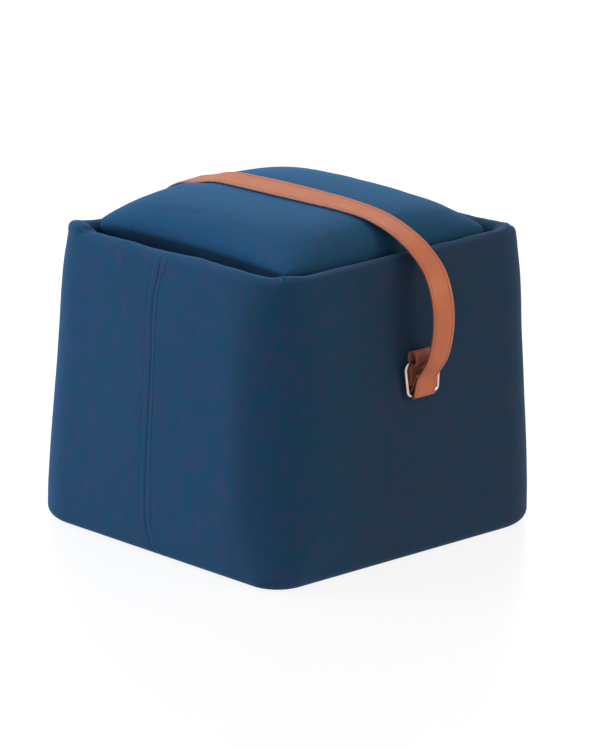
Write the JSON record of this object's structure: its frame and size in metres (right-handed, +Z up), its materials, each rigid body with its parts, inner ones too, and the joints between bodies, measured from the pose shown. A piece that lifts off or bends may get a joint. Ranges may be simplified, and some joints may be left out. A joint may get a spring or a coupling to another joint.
{
  "type": "cube pouf stool",
  "caption": "Square filled velvet pouf with a soft standing rim, a crowned seat cushion set inside it, and a leather carrying strap from ring to ring over the seat.",
  "frame": {"origin": "on the floor, in the middle of the flat underside", "axes": "+Z up; +Y from the front face to the back face, along the strap; the seam is on the -X face"},
  "size_m": [0.4402, 0.4946, 0.4],
  "materials": {
    "velvet": "short-pile blue velvet",
    "seat_velvet": "short-pile blue velvet",
    "base_cloth": "plain dark non-woven cloth",
    "strap_leather": "smooth tan leather, stitched along both edges",
    "tab_leather": "smooth dark brown leather",
    "ring_metal": "polished pale gold plating"
  },
  "bodies": {
    "root": {"body": "velvet", "base_panel": "base_cloth", "seat_cushion": "seat_velvet", "handle_strap": "strap_leather", "ring_front": "ring_metal", "ring_back": "ring_metal", "tab_front": "tab_leather", "tab_back": "tab_leather"}
  },
  "joints": []
}
